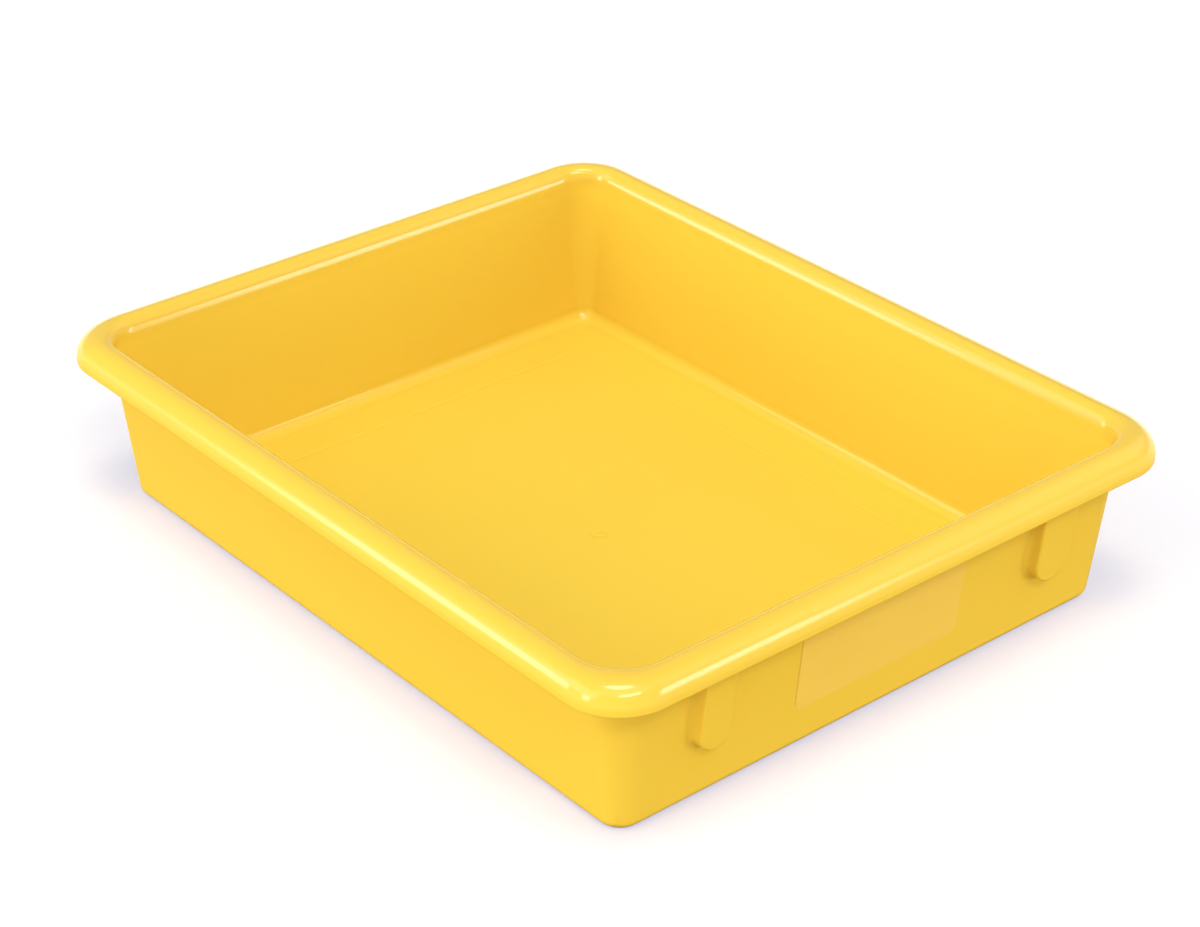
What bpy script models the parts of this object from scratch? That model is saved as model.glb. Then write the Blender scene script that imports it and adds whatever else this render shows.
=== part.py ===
"""Shallow moulded plastic tray with a rolled rim, and the thin label stuck on its front wall.

Units are metres. The origin is the middle of the resting face, +Z is up, and the
front wall, the one with the two ribs and the label, faces -Y.
"""

import math

import bpy

MM = 0.001

# Driving dimensions
BASE_WIDTH = 240.7 * MM        # outside, along X, at the table
BASE_DEPTH = 305.0 * MM        # outside, along Y, at the table
HEIGHT = 72.1 * MM             # table to the top of the rim
DRAFT = math.radians(5.98)     # the outside of every wall leans out by this much
FLOOR = 2.6 * MM               # top of the floor above the table
WALL_AT_FLOOR = 3.05 * MM      # wall thickness, measured level
WALL_AT_RIM = 2.05 * MM
RIM_OVERHANG = 18.85 * MM      # edge of the base to the outside of the lip
RIM_SKIN = 2.5 * MM            # thickness of the rim
LIP_DROP = 11.4 * MM           # top of the rim to the lower edge of the lip
LIP_SKIN = 2.3 * MM            # thickness of the lip

# Edge radii: the two on top of the rim are ellipses, taller than they are wide
INNER_EDGE = 6.0 * MM
INNER_EDGE_TALL = 9.1 * MM
OUTER_EDGE = 8.0 * MM
OUTER_EDGE_TALL = 9.1 * MM
LIP_INSIDE_EDGE = 6.0 * MM
BASE_EDGE = 4.3 * MM
FLOOR_FILLET = 4.9 * MM
CHANNEL_FILLET = 2.2 * MM
LIP_TIP = 1.05 * MM

# Corner radii seen from above
LIP_CORNER = 22.8 * MM
RIM_INNER_CORNER = 20.0 * MM    # where the top of the rim turns into the cavity
CAVITY_CORNER = 13.0 * MM      # inside of the wall, at the top
FLOOR_CORNER = 6.0 * MM        # inside of the wall, at the floor
SHOULDER_CORNER = 15.0 * MM    # outside of the wall, at the top
BASE_CORNER = 9.1 * MM

# Shallow relief
FOOT_WIDTH = 27.0 * MM         # the band the tray stands on
FOOT_HEIGHT = 0.8 * MM
LINE_DEPTH = 0.2 * MM          # line on the floor above the edge of the foot
LINE_HALF_WIDTH = 1.0 * MM
GATE_RADIUS = 4.0 * MM
GATE_DEPTH = 0.5 * MM

# Stacking ribs on the front wall: middle and half width along X
RIBS = ((-83.25 * MM, 7.1 * MM), (83.85 * MM, 8.95 * MM))
RIB_PROUD = 5.3 * MM
RIB_FOOT = 24.5 * MM           # lowest point of the ribs above the table
RIB_EDGE = 1.0 * MM

# Label
LABEL_LEFT = -40.9 * MM
LABEL_RIGHT = 39.3 * MM
LABEL_FOOT = 17.6 * MM
LABEL_TOP = 58.0 * MM
LABEL_CORNER = 4.0 * MM
LABEL_SKIN = 0.5 * MM
CLEARANCE = 0.3 * MM

CORNER_STEPS = 11
LEAN = math.tan(DRAFT)
RIM_INSIDE = HEIGHT * LEAN - WALL_AT_RIM
FLOOR_EDGE = FLOOR * LEAN - WALL_AT_FLOOR


def clear_file():
    for item in list(bpy.data.objects):
        bpy.data.objects.remove(item, do_unlink=True)
    for block in (bpy.data.meshes, bpy.data.materials):
        for item in list(block):
            block.remove(item)


def make_material(name, colour, roughness):
    material = bpy.data.materials.new(name)
    material.use_nodes = True
    shader = material.node_tree.nodes["Principled BSDF"]
    shader.inputs["Base Color"].default_value = (*colour, 1.0)
    shader.inputs["Roughness"].default_value = roughness
    material.diffuse_color = (*colour, 1.0)
    return material


def make_object(name, points, faces, material):
    mesh = bpy.data.meshes.new(name)
    mesh.from_pydata(points, [], faces)
    mesh.validate()
    mesh.polygons.foreach_set("use_smooth", [True] * len(mesh.polygons))
    mesh.set_sharp_from_angle(angle=math.radians(35))
    mesh.materials.append(material)
    item = bpy.data.objects.new(name, mesh)
    bpy.context.scene.collection.objects.link(item)
    return item


def fillet(before, corner, after, radius, tall, steps):
    """Points of the arc that rounds the corner of a polyline.

    The arc is an ellipse of half width radius and half height tall, found as a circle
    on a section squeezed down by their ratio.
    """
    squeeze = radius / tall
    ax, az = before[0] - corner[0], (before[1] - corner[1]) * squeeze
    bx, bz = after[0] - corner[0], (after[1] - corner[1]) * squeeze
    la, lb = math.hypot(ax, az), math.hypot(bx, bz)
    ax, az, bx, bz = ax / la, az / la, bx / lb, bz / lb
    half = math.acos(max(-1.0, min(1.0, ax * bx + az * bz))) / 2
    mx, mz = ax + bx, az + bz
    lm = math.hypot(mx, mz)
    centre_x = mx / lm * radius / math.sin(half)
    centre_z = mz / lm * radius / math.sin(half)
    reach = radius / math.tan(half)
    start = math.atan2(az * reach - centre_z, ax * reach - centre_x)
    end = math.atan2(bz * reach - centre_z, bx * reach - centre_x)
    turn = (end - start + math.pi) % (2 * math.pi) - math.pi
    points = []
    for step in range(steps + 1):
        angle = start + turn * step / steps
        x = corner[0] + centre_x + radius * math.cos(angle)
        z = corner[1] + (centre_z + radius * math.sin(angle)) / squeeze
        points.append((x, z))
    return points


def tray_section():
    """Section of the tray as (reach outside the base edge, height), foot to floor.

    Each corner is (reach, height, edge radius, its tall radius, arc steps, zone); the
    zone picks how the corner radius seen from above changes along the section.
    """
    skin_top = HEIGHT - RIM_SKIN
    lip_end = HEIGHT - LIP_DROP
    lip_inside = RIM_OVERHANG - LIP_SKIN
    line = LINE_HALF_WIDTH
    corners = [
        (-FOOT_WIDTH - FOOT_HEIGHT, FOOT_HEIGHT, 0, 0, 0, "outer"),
        (-FOOT_WIDTH, 0.0, 0, 0, 0, "outer"),
        (0.0, 0.0, BASE_EDGE, BASE_EDGE, 7, "outer"),
        (skin_top * LEAN, skin_top, CHANNEL_FILLET, CHANNEL_FILLET, 4, "shoulder"),
        (lip_inside, skin_top, LIP_INSIDE_EDGE, LIP_INSIDE_EDGE, 6, "rim"),
        (lip_inside, lip_end, LIP_TIP, LIP_TIP, 3, "rim"),
        (RIM_OVERHANG, lip_end, LIP_TIP, LIP_TIP, 4, "rim"),
        (RIM_OVERHANG, HEIGHT, OUTER_EDGE, OUTER_EDGE_TALL, 10, "rim"),
        (RIM_INSIDE, HEIGHT, INNER_EDGE, INNER_EDGE_TALL, 9, "inside"),
        (FLOOR_EDGE, FLOOR, FLOOR_FILLET, FLOOR_FILLET, 8, "inside"),
        (-FOOT_WIDTH + line, FLOOR, 0, 0, 0, "floor"),
        (-FOOT_WIDTH, FLOOR - LINE_DEPTH, 0, 0, 0, "floor"),
        (-FOOT_WIDTH - line, FLOOR, 0, 0, 0, "floor"),
    ]
    section = []
    for index, (reach, height, radius, tall, steps, zone) in enumerate(corners):
        if radius == 0:
            section.append((reach, height, zone))
            continue
        before, after = corners[index - 1][:2], corners[index + 1][:2]
        arc = fillet(before, (reach, height), after, radius, tall, steps)
        section.extend((x, z, zone) for x, z in arc)
    return section


def plan_radius(reach, height, zone):
    """Corner radius seen from above at one point of the section."""
    rise = height / HEIGHT
    top_edge = RIM_INSIDE + INNER_EDGE
    along_rim = (reach - top_edge) / (RIM_OVERHANG - top_edge)
    across_rim = RIM_INNER_CORNER + (LIP_CORNER - RIM_INNER_CORNER) * along_rim
    if zone == "rim":
        return across_rim
    if zone in ("outer", "shoulder"):
        on_wall = BASE_CORNER + (SHOULDER_CORNER - BASE_CORNER) * rise
        return max(on_wall + reach - height * LEAN, FLOOR_CORNER / 2)
    if zone == "inside":
        wall_reach = FLOOR_EDGE + (RIM_INSIDE - FLOOR_EDGE) * (height - FLOOR) / (HEIGHT - FLOOR)
        on_wall = FLOOR_CORNER + (CAVITY_CORNER - FLOOR_CORNER) * rise
        blend = max((height - HEIGHT) / INNER_EDGE_TALL + 1.0, 0.0) ** 2
        inset = min(reach - wall_reach, 0.0)
        return max(on_wall + inset, 1.2 * MM) * (1 - blend) + RIM_INNER_CORNER * blend
    return FLOOR_CORNER / 2


def rounded_rectangle(half_x, half_y, radius, height):
    points = []
    corners = ((1, 1, 0), (-1, 1, 90), (-1, -1, 180), (1, -1, 270))
    for sign_x, sign_y, first in corners:
        for step in range(CORNER_STEPS):
            angle = math.radians(first + 90 * step / (CORNER_STEPS - 1))
            x = sign_x * (half_x - radius) + radius * math.cos(angle)
            y = sign_y * (half_y - radius) + radius * math.sin(angle)
            points.append((x, y, height))
    return points


def circle(radius, height):
    points = []
    for step in range(4 * CORNER_STEPS):
        angle = 2 * math.pi * (step + 0.5) / (4 * CORNER_STEPS)
        points.append((radius * math.cos(angle), radius * math.sin(angle), height))
    return points


def gate_rings(height, side):
    """Shallow round dimple left by the moulding gate, from its edge to its middle."""
    return [
        circle(GATE_RADIUS, height),
        circle(GATE_RADIUS * 0.6, height + side * GATE_DEPTH),
        circle(GATE_RADIUS * 0.3, height + side * GATE_DEPTH * 0.9),
    ]


def build_tray(material):
    rings = []
    for reach, height, zone in tray_section():
        radius = plan_radius(reach, height, zone)
        half_x = BASE_WIDTH / 2 + reach
        half_y = BASE_DEPTH / 2 + reach
        rings.append(rounded_rectangle(half_x, half_y, radius, height))
    rings = gate_rings(FOOT_HEIGHT, 1)[::-1] + rings + gate_rings(FLOOR, -1)
    count = 4 * CORNER_STEPS
    points = [point for ring in rings for point in ring]
    faces = []
    for ring in range(len(rings) - 1):
        low, high = ring * count, (ring + 1) * count
        for step in range(count):
            following = (step + 1) % count
            faces.append((low + step, low + following, high + following, high + step))
    last = (len(rings) - 1) * count
    faces.append(tuple(reversed(range(count))))
    faces.append(tuple(range(last, last + count)))
    return make_object("tray_body", points, faces, material)


def on_front_wall(x, up, out):
    """Point of the front wall: x along it, up the slope from the table, out of its face."""
    y = -BASE_DEPTH / 2 - up * math.sin(DRAFT) - out * math.cos(DRAFT)
    z = up * math.cos(DRAFT) - out * math.sin(DRAFT)
    return (x, y, z)


def slab(name, outlines, material):
    """Solid through matching outlines, each a list of (x, up, out) points."""
    count = len(outlines[0])
    points = [on_front_wall(*point) for outline in outlines for point in outline]
    faces = [tuple(reversed(range(count)))]
    for ring in range(len(outlines) - 1):
        low, high = ring * count, (ring + 1) * count
        for step in range(count):
            following = (step + 1) % count
            faces.append((low + step, low + following, high + following, high + step))
    last = (len(outlines) - 1) * count
    faces.append(tuple(range(last, last + count)))
    return make_object(name, points, faces, material)


def tongue(middle, half_width, foot, top, out):
    """Outline with square upper corners and a half-round lower end."""
    points = [(middle + half_width, top, out), (middle - half_width, top, out)]
    for step in range(17):
        angle = math.radians(180 + 180 * step / 16)
        x = middle + half_width * math.cos(angle)
        up = foot + half_width + half_width * math.sin(angle)
        points.append((x, up, out))
    return points


def build_rib(name, middle, half_width, material):
    foot = (RIB_FOOT + RIB_PROUD * math.sin(DRAFT)) / math.cos(DRAFT)
    inside_skin = HEIGHT - RIM_SKIN + 0.35 * MM
    outlines = []
    levels = ((-0.5 * MM, 0.2 * MM), (RIB_PROUD - RIB_EDGE, 0.0),
              (RIB_PROUD - RIB_EDGE * 0.3, -RIB_EDGE * 0.3), (RIB_PROUD, -RIB_EDGE))
    for out, spread in levels:
        top = (inside_skin + out * math.sin(DRAFT)) / math.cos(DRAFT)
        outlines.append(tongue(middle, half_width + spread, foot - spread, top, out))
    return slab(name, outlines, material)


def label_outline(inset, out):
    points = []
    left, right = LABEL_LEFT + inset, LABEL_RIGHT - inset
    foot, top = LABEL_FOOT / math.cos(DRAFT) + inset, LABEL_TOP / math.cos(DRAFT) - inset
    corners = ((right, top, -1, -1, 0), (left, top, 1, -1, 90),
               (left, foot, 1, 1, 180), (right, foot, -1, 1, 270))
    radius = LABEL_CORNER - inset
    for x, up, side_x, side_up, first in corners:
        for step in range(9):
            angle = math.radians(first + 90 * step / 8)
            across = x + side_x * radius + radius * math.cos(angle)
            along = up + side_up * radius + radius * math.sin(angle)
            points.append((across, along, out))
    return points


def build_label(material):
    outlines = [
        label_outline(0.0, CLEARANCE),
        label_outline(0.0, CLEARANCE + LABEL_SKIN * 0.6),
        label_outline(LABEL_SKIN * 0.4, CLEARANCE + LABEL_SKIN),
    ]
    return slab("label_panel", outlines, material)


def join_to(body, other):
    """Fuse a second solid into the body with the exact solver."""
    modifier = body.modifiers.new(other.name, "BOOLEAN")
    modifier.operation = "UNION"
    modifier.solver = "EXACT"
    modifier.object = other
    other.hide_render = True
    other.display_type = "WIRE"


def main():
    clear_file()
    yellow = make_material("yellow_polypropylene", (0.93, 0.60, 0.045), 0.3)
    satin = make_material("satin_label_film", (0.90, 0.58, 0.09), 0.55)
    body = build_tray(yellow)
    for number, (middle, half_width) in enumerate(RIBS, start=1):
        join_to(body, build_rib("rib_tool_%d" % number, middle, half_width, yellow))
    build_label(satin)


main()
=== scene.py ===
"""Looks of the shallow yellow tray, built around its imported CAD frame.

Units are metres. The frame's origin is the middle of the resting face, +Z is up, and
the front wall, the one with the two ribs and the label, faces -Y.
"""

import math

import bpy
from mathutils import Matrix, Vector


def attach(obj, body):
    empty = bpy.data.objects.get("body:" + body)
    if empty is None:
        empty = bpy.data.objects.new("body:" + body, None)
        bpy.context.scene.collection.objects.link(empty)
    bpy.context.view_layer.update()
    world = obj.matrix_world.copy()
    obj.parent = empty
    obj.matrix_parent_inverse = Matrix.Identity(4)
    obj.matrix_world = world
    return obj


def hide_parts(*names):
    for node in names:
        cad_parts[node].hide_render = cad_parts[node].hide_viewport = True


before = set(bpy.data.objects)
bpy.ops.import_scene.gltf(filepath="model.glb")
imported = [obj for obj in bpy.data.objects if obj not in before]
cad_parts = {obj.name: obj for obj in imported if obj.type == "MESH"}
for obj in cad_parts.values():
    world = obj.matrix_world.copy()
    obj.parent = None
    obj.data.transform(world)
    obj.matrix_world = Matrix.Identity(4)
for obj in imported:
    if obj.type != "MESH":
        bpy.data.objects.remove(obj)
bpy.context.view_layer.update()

MM = 0.001

# Tray section
BASE_WIDTH = 240.7 * MM
BASE_DEPTH = 305.0 * MM
HEIGHT = 72.1 * MM
DRAFT = math.radians(5.98)
FLOOR = 2.6 * MM
WALL_AT_FLOOR = 3.05 * MM
WALL_AT_RIM = 2.05 * MM
RIM_OVERHANG = 18.85 * MM
RIM_SKIN = 2.5 * MM
LIP_DROP = 11.4 * MM
LIP_SKIN = 2.3 * MM

INNER_EDGE = 6.0 * MM
INNER_EDGE_TALL = 9.1 * MM
OUTER_EDGE = 8.0 * MM
OUTER_EDGE_TALL = 9.1 * MM
LIP_INSIDE_EDGE = 6.0 * MM
BASE_EDGE = 4.3 * MM
FLOOR_FILLET = 4.9 * MM
CHANNEL_FILLET = 2.2 * MM
LIP_TIP = 1.05 * MM

# Corner radii seen from above
LIP_CORNER = 22.8 * MM
RIM_INNER_CORNER = 20.0 * MM    # where the top of the rim turns into the cavity
CAVITY_CORNER = 13.0 * MM
FLOOR_CORNER = 6.0 * MM
SHOULDER_CORNER = 15.0 * MM
BASE_CORNER = 9.1 * MM
LEAST_CORNER = 1.2 * MM

# Shallow relief
FOOT_WIDTH = 27.0 * MM
FOOT_HEIGHT = 0.8 * MM
FOOT_STEP = 0.8 * MM
FOOT_EDGE = 0.6 * MM
LINE_DEPTH = 0.12 * MM
LINE_HALF_WIDTH = 1.0 * MM
LINE_EDGE = 0.5 * MM
GATE_RADIUS = 4.0 * MM
GATE_DEPTH = 0.45 * MM

# Ribs: middle and half width of the face along X
RIBS = ((-83.25 * MM, 7.1 * MM), (83.85 * MM, 8.95 * MM))
RIB_PROUD = 5.3 * MM
RIB_ROOT = 2.2 * MM            # fillet where a rib meets the wall
RIB_EDGE = 1.0 * MM
RIB_SLOPE = 0.15 * MM
RIB_FOOT = 24.5 * MM
RIB_TOP = HEIGHT - RIM_SKIN + 0.35 * MM
RIB_SUNK = 0.10 * MM           # how far the rib reaches into the wall
RIB_SUNK_MARGIN = 0.4 * MM     # how much wider than its fillet it is in there
RIB_RISES = 6
RIB_ARC_STEPS = 32
RIB_ROOT_STEPS = 7
RIB_EDGE_STEPS = 5

# Label film
LABEL_LEFT = -40.9 * MM
LABEL_RIGHT = 39.3 * MM
LABEL_FOOT = 17.6 * MM
LABEL_TOP = 58.0 * MM
LABEL_CORNER = 4.0 * MM
LABEL_CORNER_STEPS = 12
LABEL_GAP = 0.05 * MM
LABEL_SKIN = 0.25 * MM

CORNER_STEPS = 25
LARGE_FACE = 500.0 * MM * MM
LEAN = math.tan(DRAFT)
RIM_INSIDE = HEIGHT * LEAN - WALL_AT_RIM
FLOOR_EDGE = FLOOR * LEAN - WALL_AT_FLOOR

# Camera, fitted to the tray's base, rim and inner edges
CAMERA_TARGET = Vector((38.56, 45.64, 0.0)) * MM
CAMERA_DISTANCE = 1184.7 * MM
CAMERA_AZIMUTH = math.radians(-40.02)
CAMERA_ELEVATION = math.radians(29.90)
CAMERA_LENS = 85.73            # millimetres, on a sensor 36 wide


# ---------------------------------------------------------------- shapes

def fillet(before, corner, after, radius, tall, steps):
    """Points of the elliptical arc that rounds the corner of a polyline."""
    squeeze = radius / tall
    ax, az = before[0] - corner[0], (before[1] - corner[1]) * squeeze
    bx, bz = after[0] - corner[0], (after[1] - corner[1]) * squeeze
    la, lb = math.hypot(ax, az), math.hypot(bx, bz)
    ax, az, bx, bz = ax / la, az / la, bx / lb, bz / lb
    half = math.acos(max(-1.0, min(1.0, ax * bx + az * bz))) / 2
    mx, mz = ax + bx, az + bz
    lm = math.hypot(mx, mz)
    centre_x = mx / lm * radius / math.sin(half)
    centre_z = mz / lm * radius / math.sin(half)
    reach = radius / math.tan(half)
    start = math.atan2(az * reach - centre_z, ax * reach - centre_x)
    end = math.atan2(bz * reach - centre_z, bx * reach - centre_x)
    turn = (end - start + math.pi) % (2 * math.pi) - math.pi
    points = []
    for step in range(steps + 1):
        angle = start + turn * step / steps
        x = corner[0] + centre_x + radius * math.cos(angle)
        z = corner[1] + (centre_z + radius * math.sin(angle)) / squeeze
        points.append((x, z))
    return points


def tray_section():
    """Section of the tray as (reach outside the base edge, height, zone)."""
    skin_top = HEIGHT - RIM_SKIN
    lip_end = HEIGHT - LIP_DROP
    lip_inside = RIM_OVERHANG - LIP_SKIN
    line = LINE_HALF_WIDTH
    corners = [
        (-FOOT_WIDTH - 6 * FOOT_STEP, FOOT_HEIGHT, 0, 0, 0, "floor"),
        (-FOOT_WIDTH - FOOT_STEP, FOOT_HEIGHT, FOOT_EDGE, FOOT_EDGE, 5, "floor"),
        (-FOOT_WIDTH, 0.0, FOOT_EDGE, FOOT_EDGE, 5, "floor"),
        (0.0, 0.0, BASE_EDGE, BASE_EDGE, 16, "outer"),
        (skin_top * LEAN, skin_top, CHANNEL_FILLET, CHANNEL_FILLET, 10, "shoulder"),
        (lip_inside, skin_top, LIP_INSIDE_EDGE, LIP_INSIDE_EDGE, 14, "rim"),
        (lip_inside, lip_end, LIP_TIP, LIP_TIP, 8, "rim"),
        (RIM_OVERHANG, lip_end, LIP_TIP, LIP_TIP, 8, "rim"),
        (RIM_OVERHANG, HEIGHT, OUTER_EDGE, OUTER_EDGE_TALL, 26, "rim"),
        (RIM_INSIDE, HEIGHT, INNER_EDGE, INNER_EDGE_TALL, 22, "inside"),
        (FLOOR_EDGE, FLOOR, FLOOR_FILLET, FLOOR_FILLET, 18, "inside"),
        (-FOOT_WIDTH + line, FLOOR, LINE_EDGE, LINE_EDGE, 4, "floor"),
        (-FOOT_WIDTH, FLOOR - LINE_DEPTH, LINE_EDGE, LINE_EDGE, 4, "floor"),
        (-FOOT_WIDTH - line, FLOOR, LINE_EDGE, LINE_EDGE, 4, "floor"),
        (-FOOT_WIDTH - 8 * line, FLOOR, 0, 0, 0, "floor"),
    ]
    section = []
    for index, (reach, height, radius, tall, steps, zone) in enumerate(corners):
        if radius == 0:
            section.append((reach, height, zone))
            continue
        before, after = corners[index - 1][:2], corners[index + 1][:2]
        arc = fillet(before, (reach, height), after, radius, tall, steps)
        section.extend((x, z, zone) for x, z in arc)
    return section


def plan_radius(reach, height, zone):
    """Corner radius seen from above at one point of the section."""
    rise = height / HEIGHT
    top_edge = RIM_INSIDE + INNER_EDGE
    along_rim = (reach - top_edge) / (RIM_OVERHANG - top_edge)
    across_rim = RIM_INNER_CORNER + (LIP_CORNER - RIM_INNER_CORNER) * along_rim
    if zone == "rim":
        return across_rim
    if zone in ("outer", "shoulder"):
        on_wall = BASE_CORNER + (SHOULDER_CORNER - BASE_CORNER) * rise
        return max(on_wall + reach - height * LEAN, FLOOR_CORNER / 2)
    if zone == "inside":
        wall_reach = FLOOR_EDGE + (RIM_INSIDE - FLOOR_EDGE) * (height - FLOOR) / (HEIGHT - FLOOR)
        on_wall = FLOOR_CORNER + (CAVITY_CORNER - FLOOR_CORNER) * rise
        blend = max((height - HEIGHT) / INNER_EDGE_TALL + 1.0, 0.0) ** 2
        inset = min(reach - wall_reach, 0.0)
        return max(on_wall + inset, LEAST_CORNER) * (1 - blend) + RIM_INNER_CORNER * blend
    return FLOOR_CORNER / 2


def rounded_rectangle(half_x, half_y, radius, height):
    points = []
    corners = ((1, 1, 0), (-1, 1, 90), (-1, -1, 180), (1, -1, 270))
    for sign_x, sign_y, first in corners:
        for step in range(CORNER_STEPS):
            angle = math.radians(first + 90 * step / (CORNER_STEPS - 1))
            x = sign_x * (half_x - radius) + radius * math.cos(angle)
            y = sign_y * (half_y - radius) + radius * math.sin(angle)
            points.append((x, y, height))
    return points


def circle(radius, height):
    points = []
    for step in range(4 * CORNER_STEPS):
        angle = 2 * math.pi * (step + 0.5) / (4 * CORNER_STEPS)
        points.append((radius * math.cos(angle), radius * math.sin(angle), height))
    return points


def gate_rings(height, side):
    """Shallow dimple left by the moulding gate, from its edge to its middle.

    Each step of its profile is a share of the radius and a share of the depth.
    """
    profile = ((1.25, 0.0), (1.0, 0.06), (0.85, 0.45), (0.7, 0.9), (0.5, 1.0),
               (0.36, 0.95), (0.26, 0.55), (0.16, 0.42))
    return [circle(GATE_RADIUS * r, height + side * GATE_DEPTH * d) for r, d in profile]


def mesh_object(name, points, faces):
    mesh = bpy.data.meshes.new(name)
    mesh.from_pydata(points, [], faces)
    mesh.validate()
    mesh.polygons.foreach_set("use_smooth", [True] * len(mesh.polygons))
    item = bpy.data.objects.new(name, mesh)
    bpy.context.scene.collection.objects.link(item)
    return item


def lofted(name, rings):
    """Closed solid through matching rings, each end closed by one face."""
    count = len(rings[0])
    points = [point for ring in rings for point in ring]
    faces = [tuple(reversed(range(count)))]
    for ring in range(len(rings) - 1):
        low, high = ring * count, (ring + 1) * count
        for step in range(count):
            following = (step + 1) % count
            faces.append((low + step, low + following, high + following, high + step))
    last = (len(rings) - 1) * count
    faces.append(tuple(range(last, last + count)))
    return mesh_object(name, points, faces)


def finish_shading(item, sharp_degrees):
    """Bake face-weighted normals; the large flat faces are shaded flat outright."""
    item.data.set_sharp_from_angle(angle=math.radians(sharp_degrees))
    for face in item.data.polygons:
        if face.area > LARGE_FACE:
            face.use_smooth = False
    weighted = item.modifiers.new("weighted", "WEIGHTED_NORMAL")
    weighted.mode = "FACE_AREA"
    weighted.keep_sharp = True
    depsgraph = bpy.context.evaluated_depsgraph_get()
    baked = bpy.data.meshes.new_from_object(item.evaluated_get(depsgraph), depsgraph=depsgraph)
    item.modifiers.clear()
    item.data = baked


def fuse(body, other):
    """Exact union of a second solid into the body, applied at once."""
    modifier = body.modifiers.new("fuse", "BOOLEAN")
    modifier.operation = "UNION"
    modifier.solver = "EXACT"
    modifier.object = other
    depsgraph = bpy.context.evaluated_depsgraph_get()
    joined = bpy.data.meshes.new_from_object(body.evaluated_get(depsgraph), depsgraph=depsgraph)
    body.modifiers.clear()
    body.data = joined
    bpy.data.objects.remove(other, do_unlink=True)


def on_front_wall(x, up, out):
    """Point of the front wall: x along it, up its slope, out of its face."""
    y = -BASE_DEPTH / 2 - up * math.sin(DRAFT) - out * math.cos(DRAFT)
    z = up * math.cos(DRAFT) - out * math.sin(DRAFT)
    return (x, y, z)


def rib_level(middle, half_width, spread, out):
    """Outline of a rib, spread past its face all round and standing out from the wall."""
    foot_up = RIB_FOOT / math.cos(DRAFT)
    top_up = (RIB_TOP + out * math.sin(DRAFT)) / math.cos(DRAFT)
    arc_centre = foot_up + half_width
    reach = half_width + spread
    rises = [top_up + (arc_centre - top_up) * step / RIB_RISES for step in range(RIB_RISES)]
    points = [(middle - reach, up, out) for up in rises]
    for step in range(RIB_ARC_STEPS + 1):
        angle = math.pi * (1 + step / RIB_ARC_STEPS)
        across = middle + reach * math.cos(angle)
        points.append((across, arc_centre + reach * math.sin(angle), out))
    points += [(middle + reach, up, out) for up in reversed(rises)]
    return points


def build_rib(middle, half_width):
    """One rib: a flat face with a softened edge, steep sides and a filleted root."""
    profile = [(RIB_ROOT + RIB_SUNK_MARGIN, -RIB_SUNK)]
    for step in range(RIB_ROOT_STEPS + 1):
        angle = math.pi / 2 * step / RIB_ROOT_STEPS
        spread = RIB_ROOT * (1 - math.sin(angle)) + RIB_SLOPE
        profile.append((spread, RIB_ROOT * (1 - math.cos(angle))))
    for step in range(RIB_EDGE_STEPS + 1):
        angle = math.pi / 2 * step / RIB_EDGE_STEPS
        spread = RIB_EDGE * (math.cos(angle) - 1)
        profile.append((spread, RIB_PROUD - RIB_EDGE * (1 - math.sin(angle))))
    profile.append((-2.5 * RIB_EDGE, RIB_PROUD))
    rings = []
    for spread, out in profile:
        outline = rib_level(middle, half_width, spread, out)
        rings.append([on_front_wall(*point) for point in outline])
    return lofted("rib_tool", rings)


def build_tray():
    rings = []
    for reach, height, zone in tray_section():
        radius = plan_radius(reach, height, zone)
        half_x = BASE_WIDTH / 2 + reach
        half_y = BASE_DEPTH / 2 + reach
        rings.append(rounded_rectangle(half_x, half_y, radius, height))
    rings = gate_rings(FOOT_HEIGHT, 1)[::-1] + rings + gate_rings(FLOOR, -1)
    body = lofted("tray_body_shell", rings)
    for middle, half_width in RIBS:
        fuse(body, build_rib(middle, half_width))
    finish_shading(body, 50)
    return body


def label_outline(inset, out):
    points = []
    left, right = LABEL_LEFT + inset, LABEL_RIGHT - inset
    foot, top = LABEL_FOOT / math.cos(DRAFT) + inset, LABEL_TOP / math.cos(DRAFT) - inset
    corners = ((right, top, -1, -1, 0), (left, top, 1, -1, 90),
               (left, foot, 1, 1, 180), (right, foot, -1, 1, 270))
    radius = LABEL_CORNER - inset
    for x, up, side_x, side_up, first in corners:
        for step in range(LABEL_CORNER_STEPS + 1):
            angle = math.radians(first + 90 * step / LABEL_CORNER_STEPS)
            across = x + side_x * radius + radius * math.cos(angle)
            along = up + side_up * radius + radius * math.sin(angle)
            points.append(on_front_wall(across, along, out))
    return points


def build_label():
    skin = LABEL_SKIN
    rings = [
        label_outline(0.0, LABEL_GAP),
        label_outline(0.0, LABEL_GAP + skin * 0.5),
        label_outline(skin * 0.15, LABEL_GAP + skin * 0.85),
        label_outline(skin * 0.5, LABEL_GAP + skin),
    ]
    label = lofted("label_film", rings)
    finish_shading(label, 40)
    return label


# ------------------------------------------------------------- materials

class NodeTree:
    """What the material and the world node trees have in common."""

    def math(self, operation, *values):
        node = self.tree.nodes.new("ShaderNodeMath")
        node.operation = operation
        for socket, value in zip(node.inputs, values):
            if isinstance(value, (int, float)):
                socket.default_value = value
            else:
                self.tree.links.new(value, socket)
        return node.outputs["Value"]


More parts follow.
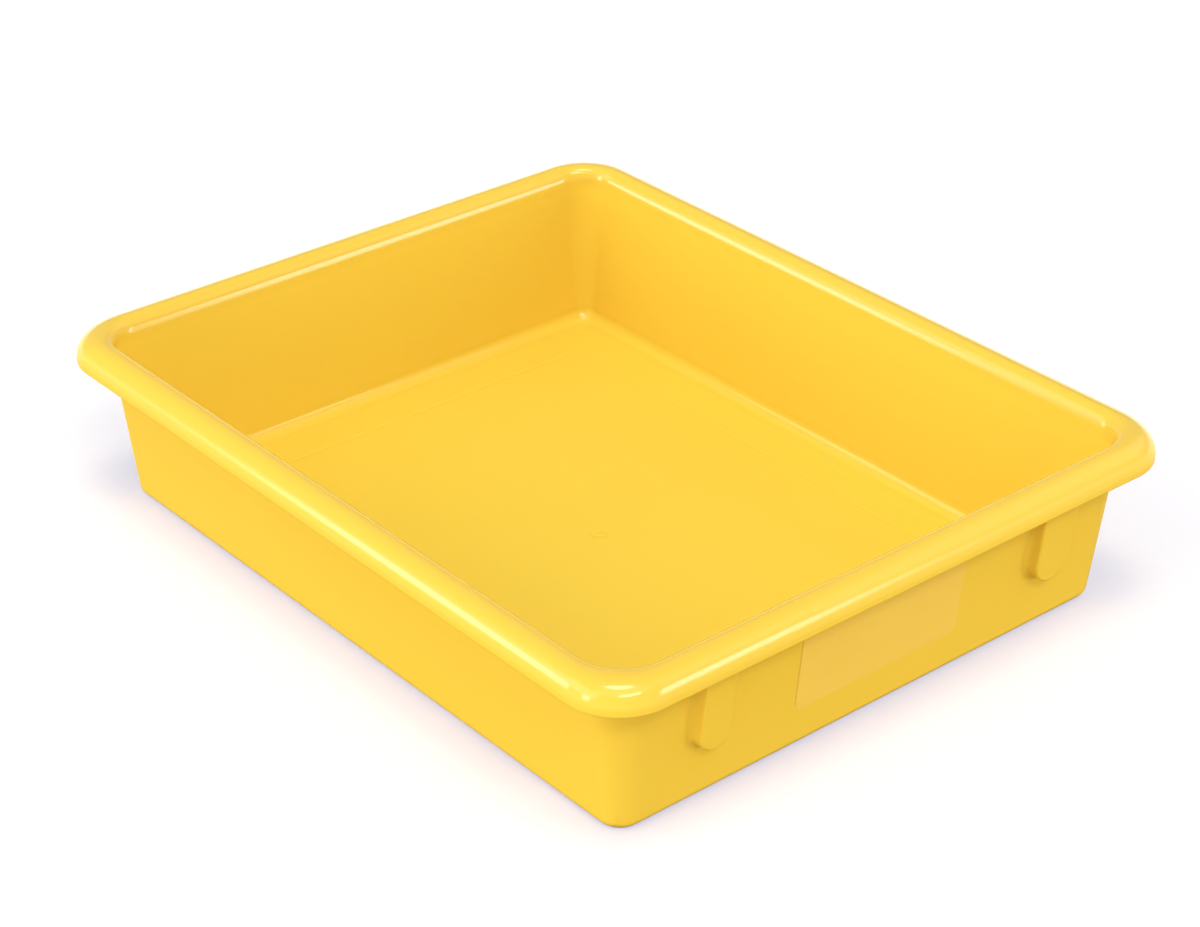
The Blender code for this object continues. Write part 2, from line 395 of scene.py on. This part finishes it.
class Nodes(NodeTree):
    """Small helper to write a material's node tree in order."""

    def __init__(self, name):
        self.material = bpy.data.materials.new(name)
        self.material.use_nodes = True
        self.tree = self.material.node_tree
        self.shader = self.tree.nodes["Principled BSDF"]
        self.coordinates = self.add("ShaderNodeTexCoord").outputs["Object"]

    def add(self, kind, **settings):
        node = self.tree.nodes.new(kind)
        for key, value in settings.items():
            setattr(node, key, value)
        return node

    def link(self, source, target):
        self.tree.links.new(source, target)

    def noise(self, scale, detail=2.0, roughness=0.5, stretch=(1, 1, 1)):
        mapping = self.add("ShaderNodeMapping")
        mapping.inputs["Scale"].default_value = stretch
        self.link(self.coordinates, mapping.inputs["Vector"])
        noise = self.add("ShaderNodeTexNoise")
        noise.inputs["Scale"].default_value = scale
        noise.inputs["Detail"].default_value = detail
        noise.inputs["Roughness"].default_value = roughness
        self.link(mapping.outputs["Vector"], noise.inputs["Vector"])
        return noise.outputs["Fac"]

    def remap(self, value, low, high, to_low, to_high):
        node = self.add("ShaderNodeMapRange")
        node.inputs["From Min"].default_value = low
        node.inputs["From Max"].default_value = high
        node.inputs["To Min"].default_value = to_low
        node.inputs["To Max"].default_value = to_high
        self.link(value, node.inputs["Value"])
        return node.outputs["Result"]

    def mix_colour(self, factor, first, second):
        node = self.add("ShaderNodeMix", data_type="RGBA")
        self.link(factor, node.inputs[0])
        for socket, value in ((node.inputs[6], first), (node.inputs[7], second)):
            if isinstance(value, tuple):
                socket.default_value = (*value, 1.0)
            else:
                self.link(value, socket)
        return node.outputs[2]

    def bump(self, height, strength, distance, normal=None):
        node = self.add("ShaderNodeBump")
        node.inputs["Strength"].default_value = strength
        node.inputs["Distance"].default_value = distance
        self.link(height, node.inputs["Height"])
        if normal is not None:
            self.link(normal, node.inputs["Normal"])
        return node.outputs["Normal"]


def tray_plastic():
    """Yellow polypropylene: polished rim with painted shade (a base colour darker than the body's),
    glossy fillets, satin elsewhere.
    """
    nodes = Nodes("yellow_polypropylene_moulding")
    split = nodes.add("ShaderNodeSeparateXYZ")
    nodes.link(nodes.coordinates, split.inputs["Vector"])
    x, y, z = split.outputs
    # Height mask of the rim: it carries both the rim's gloss and the painted shade on the rim.
    rim = nodes.remap(z, HEIGHT - 10 * MM, HEIGHT - 4 * MM, 0.0, 1.0)
    past_floor = nodes.math("MAXIMUM",
                            nodes.math("SUBTRACT", nodes.math("ABSOLUTE", x), BASE_WIDTH / 2),
                            nodes.math("SUBTRACT", nodes.math("ABSOLUTE", y), BASE_DEPTH / 2))
    fillet_side = nodes.remap(past_floor, -12 * MM, -7 * MM, 0.0, 1.0)
    low = nodes.remap(z, 6 * MM, 12 * MM, 1.0, 0.0)
    inside = nodes.remap(past_floor, -2.2 * MM, -0.8 * MM, 1.0, 0.0)
    fillets = nodes.math("MULTIPLY", nodes.math("MULTIPLY", fillet_side, low), inside)

    flow = nodes.remap(nodes.noise(6.0, 3.0, 0.55), 0.3, 0.7, 0.0, 1.0)
    grain = nodes.remap(nodes.noise(900.0, 2.0, 0.6), 0.35, 0.65, 0.0, 1.0)
    colour = nodes.mix_colour(flow, (0.80, 0.553, 0.056), (0.82, 0.567, 0.060))
    speck = nodes.remap(nodes.noise(2600.0, 1.0, 0.5), 0.70, 0.80, 0.0, 0.25)
    colour = nodes.mix_colour(speck, colour, (0.84, 0.62, 0.09))
    # Painted shade: the rim's base colour is darker than the body's, to offset the strong light
    # that falls on the rim top.
    colour = nodes.mix_colour(rim, colour, (0.77, 0.51, 0.053))
    nodes.link(colour, nodes.shader.inputs["Base Color"])

    satin = nodes.remap(past_floor, -13 * MM, -8 * MM, 0.46, 0.36)
    glossy = nodes.math("MAXIMUM", rim, fillets)
    polished = nodes.math("MULTIPLY", glossy, -0.15)
    rubbed = nodes.remap(nodes.noise(55.0, 4.0, 0.6), 0.3, 0.7, -0.015, 0.02)
    roughness = nodes.math("ADD", nodes.math("ADD", satin, polished), rubbed)
    roughness = nodes.math("ADD", roughness, nodes.math("MULTIPLY", grain, 0.015))
    nodes.link(roughness, nodes.shader.inputs["Roughness"])

    sink = nodes.bump(nodes.noise(22.0, 1.0, 0.4), 0.25, 0.15 * MM)
    peel = nodes.bump(nodes.noise(520.0, 2.0, 0.5), 0.08, 0.02 * MM, sink)
    scuffs = nodes.noise(300.0, 3.0, 0.7, (0.05, 1.0, 0.4))
    scuffed = nodes.bump(scuffs, 0.04, 0.02 * MM, peel)
    nodes.link(scuffed, nodes.shader.inputs["Normal"])
    nodes.link(nodes.math("MULTIPLY", glossy, 0.8), nodes.shader.inputs["Coat Weight"])
    nodes.shader.inputs["Coat Roughness"].default_value = 0.10
    nodes.shader.inputs["Coat IOR"].default_value = 1.47
    nodes.shader.inputs["IOR"].default_value = 1.47
    nodes.shader.inputs["Specular IOR Level"].default_value = 0.10
    return nodes.material


def label_plastic():
    """Satin label film, opaque here and a little paler than the wall behind it."""
    nodes = Nodes("satin_label_film")
    cloud = nodes.remap(nodes.noise(40.0, 3.0, 0.6), 0.3, 0.7, 0.0, 1.0)
    fibre = nodes.noise(500.0, 3.0, 0.6, (0.15, 1.0, 1.0))
    colour = nodes.mix_colour(cloud, (0.82, 0.556, 0.084), (0.84, 0.574, 0.090))
    faded = nodes.remap(fibre, 0.4, 0.75, 0.0, 0.3)
    colour = nodes.mix_colour(faded, colour, (0.85, 0.600, 0.110))
    nodes.link(colour, nodes.shader.inputs["Base Color"])
    nodes.link(nodes.remap(fibre, 0.3, 0.7, 0.46, 0.56), nodes.shader.inputs["Roughness"])
    nodes.link(nodes.bump(fibre, 0.12, 0.02 * MM), nodes.shader.inputs["Normal"])
    nodes.shader.inputs["Specular IOR Level"].default_value = 0.2
    return nodes.material


def floor_paint():
    """Pale paper under the tray.

    The tray throws yellow light on the paper round it. A yellowish base colour and a
    bluish glow add up to white in the open and keep the tray's shade near grey.
    """
    nodes = Nodes("pale_paper")
    tooth = nodes.noise(180.0, 3.0, 0.6)
    nodes.link(nodes.mix_colour(tooth, (0.83, 0.69, 0.44), (0.85, 0.71, 0.46)),
               nodes.shader.inputs["Base Color"])
    nodes.shader.inputs["Roughness"].default_value = 0.9
    nodes.shader.inputs["Specular IOR Level"].default_value = 0.0
    nodes.shader.inputs["Emission Color"].default_value = (0.05, 0.21, 0.52, 1.0)
    nodes.shader.inputs["Emission Strength"].default_value = 1.0
    return nodes.material


# ------------------------------------------------------------ stage, light

FLOOR_REACH = 6.0
FLOOR_GAP = 0.15 * MM          # keeps the paper off the tray's resting face


def build_floor():
    """Paper that takes the tray's shade but neither lights nor shades the tray.

    The skirt of the light tent stands in for the light that it would throw.
    """
    size = FLOOR_REACH
    floor = mesh_object("studio_floor",
                        [(-size, -size, 0), (size, -size, 0), (size, size, 0), (-size, size, 0)],
                        [(0, 1, 2, 3)])
    floor.location.z = -FLOOR_GAP
    floor.data.materials.append(floor_paint())
    floor.visible_diffuse = False
    floor.visible_glossy = False
    floor.visible_shadow = False


class WorldNodes(NodeTree):
    """Small helper for the light tent's node tree."""

    def __init__(self, name):
        self.world = bpy.data.worlds.new(name)
        self.world.use_nodes = True
        self.tree = self.world.node_tree
        self.background = self.tree.nodes["Background"]
        self.background.inputs["Color"].default_value = (1.0, 1.0, 1.0, 1.0)
        coordinates = self.tree.nodes.new("ShaderNodeTexCoord")
        split = self.tree.nodes.new("ShaderNodeSeparateXYZ")
        self.tree.links.new(coordinates.outputs["Generated"], split.inputs["Vector"])
        x, y, z = split.outputs
        self.azimuth = self.math("ARCTAN2", x, y)
        self.elevation = self.math("ARCSINE", z)
        self.height = z

    def smooth(self, value, low, high, to_low, to_high):
        node = self.tree.nodes.new("ShaderNodeMapRange")
        node.interpolation_type = "SMOOTHSTEP"
        for name, number in (("From Min", low), ("From Max", high),
                             ("To Min", to_low), ("To Max", to_high)):
            node.inputs[name].default_value = number
        self.tree.links.new(value, node.inputs["Value"])
        return node.outputs["Result"]

    def soft_box(self, azimuth, elevation, half_width, half_height, edge, radiance):
        """Glowing panel, soft at its edges; angles in degrees, azimuth from +Y to +X."""
        turn = self.math("SUBTRACT", self.azimuth, math.radians(azimuth))
        turn = self.math("ABSOLUTE", self.math("WRAP", turn, math.pi, -math.pi))
        rise = self.math("ABSOLUTE", self.math("SUBTRACT", self.elevation, math.radians(elevation)))
        across = self.smooth(turn, math.radians(half_width - edge),
                             math.radians(half_width + edge), radiance, 0.0)
        upright = self.smooth(rise, math.radians(half_height - edge),
                              math.radians(half_height + edge), 1.0, 0.0)
        return self.math("MULTIPLY", across, upright)


# Soft boxes: azimuth, elevation, half width, half height, edge softness, radiance.
# Left, right and front are as the camera sees them.
SOFT_BOXES = (
    (-150.0, 58.0, 55.0, 14.0, 6.0, 0.9),    # broad overhead key, camera side
    (-72.0, 30.0, 30.0, 15.0, 6.0, 2.1),     # broad panel, left
    (110.0, 35.0, 35.0, 14.0, 5.0, 0.8),     # broad panel, right
    (-140.0, 80.0, 60.0, 7.0, 3.0, 10.0),    # small lamp almost straight above
    (-160.0, 46.0, 20.0, 4.0, 2.0, 12.0),    # key strip, over the camera's right shoulder
    (-87.0, 11.0, 6.0, 9.0, 2.0, 9.0),       # upright strip, left front
    (-48.0, 7.0, 5.0, 9.0, 2.0, 6.5),        # upright strip, left, beside the tray
    (147.0, 9.0, 5.0, 9.0, 2.0, 8.0),        # upright strip, right front
)
TENT_ABOVE = 0.42              # radiance of the tent's walls and roof
TENT_FADE = -0.12              # sine of the elevation where the tent has faded out
SKIRT = 1.60                   # radiance of the skirt, a band from the horizon down
SKIRT_TOP, SKIRT_FOOT = math.radians(4.0), math.radians(-30.0)
SKIRT_SOFT = math.radians(9.0)
SKIRT_TINT = (1.0, 0.83, 0.60)     # white paper with the tray's own yellow thrown on it


def build_lights():
    """Light tent: pale walls and roof, a warm skirt from the horizon down, and soft boxes."""
    tent = WorldNodes("light_tent")
    total = tent.smooth(tent.height, TENT_FADE, 0.0, 0.0, TENT_ABOVE)
    skirt = tent.math("MULTIPLY",
                      tent.smooth(tent.elevation, SKIRT_TOP - SKIRT_SOFT,
                                  SKIRT_TOP + SKIRT_SOFT, SKIRT, 0.0),
                      tent.smooth(tent.elevation, SKIRT_FOOT - SKIRT_SOFT,
                                  SKIRT_FOOT + SKIRT_SOFT, 0.0, 1.0))
    total = tent.math("ADD", total, skirt)
    for box in SOFT_BOXES:
        total = tent.math("ADD", total, tent.soft_box(*box))
    tent.tree.links.new(total, tent.background.inputs["Strength"])
    tint = tent.tree.nodes.new("ShaderNodeMix")
    tint.data_type = "RGBA"
    tint.inputs[6].default_value = (1.0, 1.0, 1.0, 1.0)
    tint.inputs[7].default_value = (*SKIRT_TINT, 1.0)
    tent.tree.links.new(tent.smooth(tent.elevation, -SKIRT_SOFT, SKIRT_SOFT, 1.0, 0.0),
                        tint.inputs[0])
    tent.tree.links.new(tint.outputs[2], tent.background.inputs["Color"])
    bpy.context.scene.world = tent.world


def build_camera():
    camera = bpy.data.cameras.new("camera")
    camera.lens = CAMERA_LENS
    camera.sensor_width = 36.0
    camera.clip_end = 50.0
    holder = bpy.data.objects.new("camera", camera)
    a, e = CAMERA_AZIMUTH, CAMERA_ELEVATION
    back = Vector((math.sin(a) * math.cos(e), -math.cos(a) * math.cos(e), math.sin(e)))
    holder.location = CAMERA_TARGET + back * CAMERA_DISTANCE
    holder.rotation_euler = back.to_track_quat("Z", "Y").to_euler()
    bpy.context.scene.collection.objects.link(holder)
    bpy.context.scene.camera = holder


# ---------------------------------------------------------------- assembly

tray = build_tray()
tray.data.materials.clear()
tray.data.materials.append(tray_plastic())
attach(tray, "root")
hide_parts("tray_body")

label = build_label()
label.data.materials.clear()
label.data.materials.append(label_plastic())
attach(label, "root")
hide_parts("label_panel")

build_floor()
build_lights()
build_camera()
bpy.context.scene.view_settings.view_transform = "Standard"
